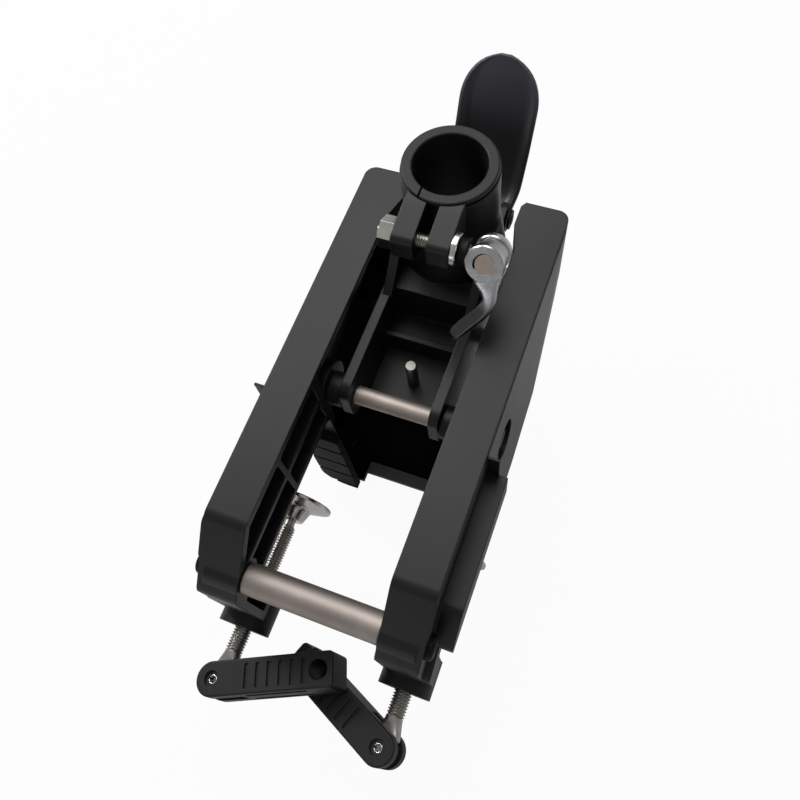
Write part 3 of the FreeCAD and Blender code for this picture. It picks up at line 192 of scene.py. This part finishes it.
# the same coat on the spacers, pale grey at the rims
paleRimPaint = dict(powderCoat, worn="#a9a9a8", wear=1.6, edgeMm=0.45)
# glass-filled nylon, moulded and finely spark-textured: softer black with a broad dull sheen
mouldedNylon = {
    "dark": "#0e0f10", "light": "#131415", "worn": "#2b2c2e", "wear": 0.35, "cloudMm": 18, "grainMm": 0.45,
    "edgeMm": 0.4, "roughness": 0.5, "bump": 0.3, "ior": 1.38,
}
# nylon from a polished mould: near black at the hub, paler upwards to the tip, which is a painted sheen
sheenTippedNylon = {
    "dark": "#0a0a0b", "light": "#0e0f10", "worn": "#303136", "wear": 0.5, "cloudMm": 26, "grainMm": 0.4,
    "edgeMm": 0.5, "roughness": 0.4, "bump": 0.12, "ior": 1.43,
    "along": (0, 0, 1), "fromMm": -14, "toMm": 20, "far": "#46474d",
}
# nitrile rubber, moulded: grey-green black with almost no shine
mouldedRubber = {
    "dark": "#121313", "light": "#1a1c1b", "worn": "#303332", "wear": 0.5, "cloudMm": 9, "grainMm": 0.6,
    "edgeMm": 0.6, "roughness": 0.72, "bump": 0.4, "ior": 1.3,
}
# steel plate with an electrocoat: near black, smoother and flatter than the castings
coatedPlate = {
    "dark": "#08090a", "light": "#0d0e0f", "worn": "#2c2d2f", "wear": 0.5, "cloudMm": 25, "grainMm": 0.5,
    "edgeMm": 0.4, "roughness": 0.5, "bump": 0.08, "ior": 1.25,
}
# the cross plate's electrocoat: a deep matt black on the wall, darker than the other plate, which is painted
# shade; pale grey on the lip at its foot, which is a painted pool of light
shadeWallLitLipPlate = dict(coatedPlate, dark="#030304", light="#070708", worn="#1c1d1f", roughness=0.8, ior=1.05,
                   along=(0, 0, -1), fromMm=125.2, toMm=125.9, far="#77787b")
# satin stainless tube: warm grey, brushed round, with a long soft highlight
brushedStainless = {
    "dark": "#8b827d", "light": "#a0968f", "worn": "#b5aca6", "wear": 0.6, "markMm": 0.7, "filmMm": 14,
    "stretch": (0.25, 3, 3), "edgeMm": 0.3, "roughness": 0.56, "bump": 0.25,
}
# the pivot bolt: the same brushed steel, paler, with its head end near black, which is painted shade of the recess
# it sits in
headShadeSteel = dict(brushedStainless, dark="#a39a94", light="#b8aea6", wear=0.12,
                        along=(1, 0, 0), fromMm=36, toMm=37, far="#101011")
# polished stainless fastener: near white highlights and dark reflections side by side
polishedStainless = {
    "dark": "#b9b5b0", "light": "#d2cfca", "worn": "#e6e4e0", "wear": 0.4, "markMm": 0.5, "filmMm": 6,
    "stretch": (1, 1, 1), "edgeMm": 0.25, "roughness": 0.2, "bump": 0.1,
}
# turned pin with a greyer face, dark down its sides where it mirrors the casting
turnedPin = dict(polishedStainless, dark="#77746f", light="#8b8883", worn="#a5a29d", roughness=0.3)
# zinc-plated rolled thread: pewter grey with small hard glints on the crests
platedThread = {
    "dark": "#8c8883", "light": "#a8a49e", "worn": "#d0ccc6", "wear": 0.5, "markMm": 0.35, "filmMm": 5,
    "stretch": (1, 1, 1), "edgeMm": 0.15, "roughness": 0.3, "bump": 0.15,
}
# cast aluminium, tumbled bright: pale, slightly pitted, soft highlights
tumbledAluminium = {
    "dark": "#9fa0a3", "light": "#bcbdc0", "worn": "#dededf", "wear": 0.5, "markMm": 0.6, "filmMm": 5,
    "stretch": (1, 1, 1), "edgeMm": 0.5, "roughness": 0.26, "bump": 0.12,
}
# the same casting on the lever, darker towards the tip of its blade, which is painted shade
camTilt = radians(34)
bladeShadeAluminium = dict(tumbledAluminium, worn="#c4c4c6", wear=0.18,
                         along=(0, -sin(camTilt), -cos(camTilt)), fromMm=4, toMm=13, far="#3a3b3f")
# sintered bronze pin: brownish, fine-grained, with a dull shine
sinteredBronze = {
    "dark": "#9a8b7f", "light": "#ad9f94", "worn": "#c8bbb0", "wear": 0.5, "markMm": 0.4, "filmMm": 4,
    "stretch": (1, 1, 1), "edgeMm": 0.25, "roughness": 0.38, "bump": 0.2,
}

materials = {
    "cast_paint": makeCoated("PowderCoatedCasting", powderCoat),
    "pale_rim_paint": makeCoated("PowderCoatPaleRims", paleRimPaint),
    "bronze": makeMetal("SinteredBronze", sinteredBronze),
    "black_nylon": makeCoated("MouldedNylon", mouldedNylon),
    "handle_nylon": makeCoated("MouldedNylonHandle", mouldedNylon),
    "sheen_tip_nylon": makeCoated("NylonPaintedTipSheen", sheenTippedNylon),
    "pad_rubber": makeCoated("MouldedRubber", mouldedRubber),
    "plate_steel": makeCoated("ElectrocoatedPlate", coatedPlate),
    "shade_wall_lit_lip_plate": makeCoated("ElectrocoatPaintedShadeAndLight", shadeWallLitLipPlate),
    "satin_steel": makeMetal("BrushedStainless", brushedStainless),
    "bright_steel": makeMetal("PolishedStainless", polishedStainless),
    "head_shade_steel": makeMetal("StainlessPaintedHeadShade", headShadeSteel),
    "turned_pin": makeMetal("TurnedPinSteel", turnedPin),
    "zinc_thread": makeMetal("ZincPlatedThread", platedThread),
    "cam_aluminium": makeMetal("TumbledAluminium", tumbledAluminium),
    "blade_shade_aluminium": makeMetal("AluminiumPaintedBladeShade", bladeShadeAluminium),
}
for part in frame["record"]["subparts"]:
    node = nodes[part["node"]]
    node.data.materials.clear()
    node.data.materials.append(materials[part["material_slot"]])
otherFinish = {
    "tie_tube_screws": "plate_steel", "cross_plate_screws": "plate_steel", "tilt_pivot_nut": "plate_steel",
    "lever_pin_clips": "plate_steel", "lever_pivot_pin": "plate_steel", "lever_spring": "zinc_thread",
    "cam_seat": "plate_steel", "pivot_spacers": "pale_rim_paint", "lower_cross_plate": "shade_wall_lit_lip_plate",
    "tilt_stop_pin": "turned_pin", "collar_nut": "bright_steel", "tilt_pivot_bolt": "head_shade_steel",
}
for name, finish in otherFinish.items():
    nodes[name].data.materials[0] = materials[finish]
print("materials on the CAD nodes")


# mesh helpers, all in millimetres until meshPiece

def meshPiece(name, parts, material, body, place, stands, smoothAngle=35):
    # parts are (points, faces) pairs that become one object in metres; it rides on a body and stands for CAD nodes
    points, faces = [], []
    for partPoints, partFaces in parts:
        faces += [[i + len(points) for i in face] for face in partFaces]
        points += [place @ Vector(p) / 1000 for p in partPoints]
    mesh = bpy.data.meshes.new(name)
    mesh.from_pydata(points, [], faces)
    tidy = bmesh.new()
    tidy.from_mesh(mesh)
    bmesh.ops.recalc_face_normals(tidy, faces=tidy.faces)
    tidy.to_mesh(mesh)
    tidy.free()
    mesh.materials.append(material)
    mesh.shade_smooth()
    mesh.set_sharp_from_angle(angle=radians(smoothAngle))
    piece = bpy.data.objects.new(name, mesh)
    scene.collection.objects.link(piece)
    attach(piece, body)
    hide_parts(*stands)
    return piece


def ringsToPart(rings, closed=True):
    # rings of equal length joined to a skin, with end caps when closed
    count = len(rings[0])
    points = [p for ring in rings for p in ring]
    faces = []
    for r in range(len(rings) - 1):
        for i in range(count):
            j = (i + 1) % count
            faces.append([r * count + i, r * count + j, (r + 1) * count + j, (r + 1) * count + i])
    if closed:
        faces.append(list(range(count))[::-1])
        faces.append([(len(rings) - 1) * count + i for i in range(count)])
    return points, faces


def turnedPart(profile, segments=48, closed=True):
    # profile of (x, radius) pairs turned round the X axis
    rings = [[(x, r * cos(2 * pi * i / segments), r * sin(2 * pi * i / segments)) for i in range(segments)]
             for x, r in profile]
    return ringsToPart(rings, closed)


def drilledPart(profile, segments):
    # a closed profile of (radius, z) pairs turned round the Z axis, hollow in the middle
    rings = [[(r * cos(2 * pi * i / segments), r * sin(2 * pi * i / segments), z) for i in range(segments)]
             for r, z in profile]
    points, faces = ringsToPart(rings, closed=False)
    last = (len(rings) - 1) * segments
    for i in range(segments):
        j = (i + 1) % segments
        faces.append([last + i, last + j, j, i])
    return points, faces


def eyePart(radius, hole, half, segments=40, chamfer=0.45):
    profile = [(hole, -half), (radius - chamfer, -half), (radius, -half + chamfer), (radius, half - chamfer),
               (radius - chamfer, half), (hole, half)]
    return drilledPart(profile, segments)


def squared(value, power):
    # keeps the sign, so that a circle of points bulges towards a square
    return abs(value) ** power * (1 if value > 0 else -1)


# rolled thread: a flat crest, a rounded root, and ends that run out below the crests
threadForm = {"segments": 32, "rowsPerTurn": 7, "crest": 1.35, "flank": 4, "endDrop": 0.25}


def threadPart(start, end, radius, pitch, depth, runOut=1.2):
    # round the X axis, fading out over runOut at both ends
    form = threadForm
    rows = int((end - start) / pitch * form["rowsPerTurn"])
    segments = form["segments"]
    rings = []
    for row in range(rows + 1):
        x = start + (end - start) * row / rows
        fade = min(1, (x - start) / runOut, (end - x) / runOut)
        ring = []
        for i in range(segments):
            phase = (x / pitch + i / segments) % 1
            ridge = min(1, max(0, form["crest"] - abs(phase - 0.5) * form["flank"]))
            r = radius - depth * (1 - ridge * fade) - form["endDrop"] * (1 - fade)
            ring.append((x, r * cos(2 * pi * i / segments), r * sin(2 * pi * i / segments)))
        rings.append(ring)
    return ringsToPart(rings)


def frameFrom(origin, xAxis, zAxis):
    # own X and Z directions at a place
    x, z = Vector(xAxis).normalized(), Vector(zAxis).normalized()
    return Matrix.Translation(origin) @ Matrix((x, z.cross(x), z)).transposed().to_4x4()


# clamp screws: eye, flattened neck, M8 rolled thread and turned tip

clampScrew = {
    "side": 37.5, "drop": 74, "pivotReach": 202.4, "length": 85, "twist": 14,
    "radius": 3.98, "pitch": 1.25, "threadDepth": 0.68, "threadStart": 12.4, "threadEnd": 72,
    "eyeRadius": 5.15, "eyeHalf": 2.82, "hole": 2.05,
    "neckPoints": 40,
    # from the shank to the eye: x, half width, half thickness, squareness
    "neck": [(13, 3.7, 3.7, 2), (11.8, 3.75, 3.6, 2.1), (10, 4.1, 3.15, 2.8), (7.8, 4.55, 2.9, 4),
             (5.6, 4.95, 2.84, 6), (4.4, 5.05, 2.82, 8)],
    # turned tip: distance back from the end, radius
    "tip": [(13.5, 2.6), (8.2, 2.6), (8.1, 3.3), (7.6, 3.7), (4.4, 3.7), (3.5, 3.1), (3.4, 0.4)],
}


def neckPart(size):
    # from the round shank to a flat lug, then round the eye
    rings = []
    for x, wide, thick, squareness in size["neck"]:
        ring = []
        for i in range(size["neckPoints"]):
            turn = 2 * pi * i / size["neckPoints"]
            ring.append((x, wide * squared(cos(turn), 2 / squareness), thick * squared(sin(turn), 2 / squareness)))
        rings.append(ring)
    return ringsToPart(rings)


def makeClampScrew(side, word):
    size = clampScrew
    twist = radians(size["twist"])
    place = frameFrom((side * size["side"], -size["pivotReach"], -size["drop"]), (0, 1, 0),
                      (-sin(twist), 0, cos(twist)))
    parts = [
        eyePart(size["eyeRadius"], size["hole"], size["eyeHalf"]),
        neckPart(size),
        threadPart(size["threadStart"], size["threadEnd"], size["radius"], size["pitch"], size["threadDepth"]),
        turnedPart([(size["length"] - back, radius) for back, radius in size["tip"]]),
    ]
    screw = meshPiece(word + "ThreadedScrew", parts, materials["zinc_thread"], word + "_screw", place,
                      (word + "_clamp_screw",))


for side, word in ((-1, "left"), (1, "right")):
    makeClampScrew(side, word)
print("clamp screws threaded")


# quick release: bolt with its eye, pin and curled cast lever

quickRelease = {
    "axis": (30.4, 28), "reach": 25.6,
    "boltRadius": 2.98, "boltStart": -18.3, "threadIntoEye": 1.5, "pitch": 1.0, "threadDepth": 0.55, "runOut": 0.8,
    "eyeRadius": 6.4, "eyeHalf": 3.3, "eyePlay": 0.1,
    "pinRadius": 3.45, "pinHead": 4.1, "pinHeadLength": 3.2, "pinBreak": 0.3, "pinShort": 0.05, "pinPlay": 0.06,
    "pinCentre": 0.1,
    "half": 7.5, "gapHalf": 3.6, "headRadius": 7.3, "headOffset": -0.5, "lip": 0.5, "lipBreak": 0.25,
    "headPoints": 56, "smoothAngle": 40,
    # block under the pin: outline, its middle, and rows of z and share of the outline
    "root": [(-4.0, -4.9), (1.2, -4.3), (6.3, -4.9), (6.4, -7.4), (5.4, -9.4), (3.2, -9.9), (1.2, -9.6),
             (-1.6, -7.4)],
    "rootMiddle": (1.6, -7),
    "rootRows": [(-7.45, 0.86), (-6.7, 1), (3.9, 1)],
    # along the blade: x, y, out along the pin, half width, half thickness, twist in degrees
    "blade": [(0.4, -1.5, 5.5, 6.2, 1.95, 0), (1.5, -6.2, 5.5, 5.2, 1.95, 0), (3.1, -10.4, 5.5, 3.3, 1.95, 3),
              (3.7, -14.6, 5.4, 2.7, 1.9, 8), (1.9, -19.4, 5.1, 2.7, 1.8, 16), (-1.4, -24.0, 4.8, 2.8, 1.65, 26),
              (-4.9, -28.8, 4.6, 2.9, 1.5, 32), (-8.0, -33.6, 5.0, 2.6, 1.35, 26)],
    "bladeRings": 56, "bladePoints": 28, "bladePower": 0.55, "bladeStep": 0.02, "tipShare": 0.09, "tipLeast": 0.05,
}


def shifted(part, x):
    return [(p[0] + x, p[1], p[2]) for p in part[0]], part[1]


def smoothRow(rows, t):
    # a smooth curve through rows of numbers, t from 0 to 1
    at = t * (len(rows) - 1)
    i = min(int(at), len(rows) - 2)
    u = at - i
    before, a, b, after = rows[max(i - 1, 0)], rows[i], rows[i + 1], rows[min(i + 2, len(rows) - 1)]
    return [0.5 * (2 * a[k] + (b[k] - before[k]) * u + (2 * before[k] - 5 * a[k] + 4 * b[k] - after[k]) * u * u
                   + (3 * a[k] - before[k] - 3 * b[k] + after[k]) * u ** 3) for k in range(len(a))]


def bladePart(size):
    rings = []
    for step in range(size["bladeRings"] + 1):
        t = step / size["bladeRings"]
        x, y, z, wide, thick, twist = smoothRow(size["blade"], t)
        ahead = smoothRow(size["blade"], min(1, t + size["bladeStep"]))
        behind = smoothRow(size["blade"], max(0, t - size["bladeStep"]))
        along = Vector([ahead[k] - behind[k] for k in range(3)]).normalized()
        across = along.cross(Vector((0, 0, 1))).normalized()
        turned = Matrix.Rotation(radians(twist), 3, along)
        across, out = turned @ across, turned @ along.cross(across).normalized()
        end = min(1, (1 - t) / size["tipShare"])
        shrink = max(size["tipLeast"], 1 - (1 - end) ** 2) ** 0.5  # rounds the tip
        ring = []
        for i in range(size["bladePoints"]):
            turn = 2 * pi * i / size["bladePoints"]
            w = wide * shrink * squared(cos(turn), size["bladePower"])
            h = thick * shrink * squared(sin(turn), size["bladePower"])
            ring.append(tuple(Vector((x, y, z)) + across * w + out * h))
        rings.append(ring)
    return ringsToPart(rings)


def rootPart(size):
    # the block under the pin that joins the two cheeks
    middle = size["rootMiddle"]
    return ringsToPart([[(middle[0] + (x - middle[0]) * share, middle[1] + (y - middle[1]) * share, z)
                         for x, y in size["root"]] for z, share in size["rootRows"]])


def cheekParts(size):
    # the two round cheeks that the pin's ends sit in, each with broken edges
    hole, head, lip, edge = size["pinHead"] + size["pinPlay"], size["headRadius"], size["lip"], size["lipBreak"]
    cheeks = []
    for low, high in ((size["gapHalf"], size["half"]), (-size["half"], -size["gapHalf"])):
        profile = [(hole, low), (head - lip, low), (head - edge, low + edge), (head, low + lip),
                   (head, high - lip), (head - edge, high - edge), (head - lip, high), (hole, high)]
        cheeks.append(shifted(drilledPart(profile, size["headPoints"]), size["headOffset"]))
    return cheeks


def makeQuickRelease():
    size = quickRelease
    place = frameFrom((0, -size["axis"][0], size["axis"][1]), (1, 0, 0), (0, -cos(camTilt), sin(camTilt)))
    boltEnd = size["reach"] - size["eyeRadius"] + size["threadIntoEye"]
    bolt = meshPiece("ThreadedCollarBolt", [
        threadPart(size["boltStart"], boltEnd, size["boltRadius"], size["pitch"], size["threadDepth"],
                   size["runOut"]),
        shifted(eyePart(size["eyeRadius"], size["pinRadius"] + size["eyePlay"], size["eyeHalf"]), size["reach"]),
    ], materials["zinc_thread"], "tilting_bracket", place, ("collar_bolt",))
    leverPlace = place @ Matrix.Translation((size["reach"], 0, 0))
    lever = meshPiece("CurledCamLever", cheekParts(size) + [rootPart(size), bladePart(size)],
                      materials["blade_shade_aluminium"], "cam_lever", leverPlace, ("quick_release_lever",),
                      size["smoothAngle"])
    pinPlace = leverPlace @ Matrix.Rotation(-pi / 2, 4, "Y")
    r, end, wide = size["pinRadius"], size["half"] - size["pinShort"], size["pinHead"]
    broken, inner, centre = size["pinBreak"], end - size["pinHeadLength"], size["pinCentre"]
    pin = meshPiece("HeadedCamPin", [turnedPart([
        (-end, centre), (-end, wide - broken), (-end + broken, wide), (-inner, wide), (-inner, r), (inner, r),
        (inner, wide), (end - broken, wide), (end, wide - broken), (end, centre)])],
        materials["bronze"], "tilting_bracket", pinPlace, ("cam_pin",))


makeQuickRelease()
print("quick release cast and threaded")


# tilt lock lever: a dished tongue with rims down its sides, and a hub on its pin

lockLever = {
    "halfWidth": 17.9, "thick": 3.6, "dish": 2.6, "rows": 40, "columns": 24, "smoothAngle": 50,
    # middle line of the tongue in the side view, y and z from the hub to the tip
    "line": [(31.5, -28.5), (39, -25.8), (47.2, -18.8), (55.2, -9.5), (62, 2.2), (67.4, 13.4), (71.6, 24.1)],
    # narrower and thicker near the hub, over these lengths
    "rootNarrow": 1.5, "narrowOver": 12, "rootThicker": 0.5, "thickOver": 14,
    # round end: length, power of its curve, share of the width that is left
    "tipLength": 22, "tipPower": 2.15, "tipLeast": 0.02,
    "tipThin": 0.55, "thinOver": 9, "dishOver": 34, "dishPower": 0.8,
    # across the tongue, as shares of its half width and of the dish or thickness
    "rimFrom": 0.72, "crown": 0.35, "sink": 0.5, "edgeFrom": 0.93, "edgeThinner": 0.62,
    # hub: place, radius, hole, broken edge, and the stretches along the pin that the lugs and the spring leave
    "pivot": (30, -30), "hub": 5.9, "hubHole": 2.6, "hubBreak": 0.5,
    "hubs": [(-16.35, -15.5), (-5.6, 11.5), (15.5, 16.35)],
}


def hubPart(size, low, high):
    radius, broken = size["hub"], size["hubBreak"]
    points, faces = turnedPart([(low, size["hubHole"]), (low, radius - broken), (low + broken, radius),
                                (high - broken, radius), (high, radius - broken), (high, size["hubHole"])],
                               closed=False)
    return [(x, y + size["pivot"][0], z + size["pivot"][1]) for x, y, z in points], faces


def tonguePart(size):
    rows, columns = size["rows"], size["columns"]
    stations = [smoothRow(size["line"], i / rows) for i in range(rows + 1)]
    reach = [0]
    for i in range(rows):
        reach.append(reach[-1] + hypot(stations[i + 1][0] - stations[i][0], stations[i + 1][1] - stations[i][1]))
    rings = []
    for i, (y, z) in enumerate(stations):
        ahead, behind = stations[min(i + 1, rows)], stations[max(i - 1, 0)]
        run = hypot(ahead[0] - behind[0], ahead[1] - behind[1])
        normal = (-(ahead[1] - behind[1]) / run, (ahead[0] - behind[0]) / run)  # towards the collar
        left = reach[-1] - reach[i]
        half = size["halfWidth"] - size["rootNarrow"] * max(0, 1 - reach[i] / size["narrowOver"])
        if left < size["tipLength"]:
            half *= max(size["tipLeast"], 1 - (1 - left / size["tipLength"]) ** size["tipPower"]) ** 0.5
        thick = size["thick"] * (size["tipThin"] + (1 - size["tipThin"]) * min(1, left / size["thinOver"]))
        thick *= 1 + size["rootThicker"] * max(0, 1 - reach[i] / size["thickOver"])
        dish = size["dish"] * min(1, left / size["dishOver"]) ** size["dishPower"]
        ring = []
        for sign in (1, -1):
            for c in range(columns + 1):
                u = sign * (-1 + 2 * c / columns)
                rim = max(0, abs(u) - size["rimFrom"]) / (1 - size["rimFrom"])
                lift = dish * (rim * rim * (3 - 2 * rim)) + size["crown"] * dish * u * u
                edge = 1 - max(0, abs(u) - size["edgeFrom"]) / (1 - size["edgeFrom"]) * size["edgeThinner"]
                shift = lift - dish * size["sink"] + sign * thick / 2 * edge
                ring.append((half * u, y + normal[0] * shift, z + normal[1] * shift))
        rings.append(ring)
    return ringsToPart(rings)


def makeLockLever():
    size = lockLever
    parts = [tonguePart(size)] + [hubPart(size, low, high) for low, high in size["hubs"]]
    lever = meshPiece("LockLever", parts, materials["sheen_tip_nylon"], "lock_lever", Matrix(), ("tilt_lock_lever",),
                      size["smoothAngle"])


makeLockLever()
print("lock lever dished")


# floor, lamps, camera

studio = {
    "floorColour": "#cccccc",
    "floorSize": 60.0,  # metres
    "floorGap": 0.0005,  # metres below the lowest point of the bracket
    "paperWhite": 0.95,  # share of plain white that the camera sees, the rest keeps the shadow
    "paperGloss": 0.12,  # share that metal mirrors
    "horizonLight": 0.35,
    "zenithLight": 0.4,
    "domeFrom": 0.2,  # height on a sphere of radius 1 where the dome starts to get lighter
    # name, then place, target and size in metres, then watts
    "lamps": [
        ("OverheadSoftbox", (-0.17, 0.38, 0.9), (0, -0.06, 0), (0.5, 0.9), 5.6),
        ("LeftStrip", (-0.95, 0.3, 0.75), (0, -0.05, 0), (0.3, 0.6), 9.0),
        ("FrontFill", (-0.24, -1.1, -0.03), (0, 0, 0), (0.5, 0.16), 0.4),
    ],
    "lens": 34.733,  # millimetres, fitted to the photograph with the camera's place and directions
    "sensor": 36,
    "clip": (0.01, 20),
    "cameraAt": (0.07198, -0.18548, 0.26810),
    "cameraRight": (0.93248454, 0.34937395, -0.09170834),
    "cameraDown": (0.28661631, -0.87018627, -0.40078291),
    "cameraForward": (-0.21982645, 0.34743876, -0.91157152),
}


def makeFloor():
    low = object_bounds()[0]
    mesh = bpy.data.meshes.new("Floor")
    half = studio["floorSize"] / 2
    level = low.z - studio["floorGap"]
    corners = [(-half, -half, level), (half, -half, level), (half, half, level), (-half, half, level)]
    mesh.from_pydata(corners, [], [(0, 1, 2, 3)])
    floor = bpy.data.objects.new("Floor", mesh)
    scene.collection.objects.link(floor)
    material, tree = newMaterial("SeamlessPaper")
    paper = addNode(tree, "BsdfDiffuse", {"Color": toLinear(studio["floorColour"])})
    glow = addNode(tree, "Emission", {"Color": (1, 1, 1, 1), "Strength": 1.0})
    path = addNode(tree, "LightPath")
    mirrored = addNode(tree, "Math", {"operation": "MAXIMUM"},
                       {0: path.outputs["Is Glossy Ray"], 1: path.outputs["Is Transmission Ray"]})
    seen = addNode(tree, "Math", {"operation": "MULTIPLY", 1: studio["paperWhite"]},
                   {0: path.outputs["Is Camera Ray"]})
    share = addNode(tree, "Math", {"operation": "MULTIPLY_ADD", 1: studio["paperGloss"]},
                    {0: mirrored.outputs[0], 2: seen.outputs[0]})
    both = addNode(tree, "MixShader", links={0: share.outputs[0], 1: paper.outputs[0], 2: glow.outputs[0]})
    addNode(tree, "OutputMaterial", links={"Surface": both.outputs[0]})
    mesh.materials.append(material)


def makeWorld():
    # soft light all round, a little brighter overhead; the camera and clear parts see plain white
    world = bpy.data.worlds.new("Studio")
    scene.world = world
    world.use_nodes = True
    tree = world.node_tree
    tree.nodes.clear()
    path = addNode(tree, "LightPath")
    height = addNode(tree, "SeparateXYZ", links={"Vector": addNode(tree, "TexCoord").outputs["Generated"]})
    dome = addNode(tree, "MapRange", {"From Min": studio["domeFrom"], "To Min": studio["horizonLight"],
                                      "To Max": studio["zenithLight"]}, {"Value": height.outputs["Z"]})
    soft = addNode(tree, "Background", {"Color": (1, 1, 1, 1)}, {"Strength": dome.outputs["Result"]})
    white = addNode(tree, "Background", {"Color": (1, 1, 1, 1), "Strength": 1.0})
    clear = addNode(tree, "Math", {"operation": "MAXIMUM"},
                    {0: path.outputs["Is Camera Ray"], 1: path.outputs["Is Transmission Ray"]})
    both = addNode(tree, "MixShader", links={0: clear.outputs[0], 1: soft.outputs[0], 2: white.outputs[0]})
    addNode(tree, "OutputWorld", links={"Surface": both.outputs[0]})


def addLamp(name, at, target, size, power):
    lamp = bpy.data.lights.new(name, "AREA")
    lamp.shape = "RECTANGLE"
    lamp.size, lamp.size_y = size
    lamp.energy = power
    holder = bpy.data.objects.new(name, lamp)
    holder.location = at
    holder.rotation_euler = (Vector(target) - Vector(at)).to_track_quat("-Z", "Y").to_euler()
    scene.collection.objects.link(holder)


def makeCamera():
    data = bpy.data.cameras.new("ProductCamera")
    data.sensor_width = studio["sensor"]
    data.lens = studio["lens"]
    data.clip_start, data.clip_end = studio["clip"]
    camera = bpy.data.objects.new("ProductCamera", data)
    right, down, forward = (Vector(studio[key]) for key in ("cameraRight", "cameraDown", "cameraForward"))
    turn = Matrix((right, -down, -forward)).transposed()
    camera.matrix_world = Matrix.Translation(studio["cameraAt"]) @ turn.to_4x4()
    scene.collection.objects.link(camera)
    scene.camera = camera


makeFloor()
makeWorld()
for lamp in studio["lamps"]:
    addLamp(*lamp)
makeCamera()
scene.view_settings.view_transform = "Standard"
print("floor, lamps and camera")
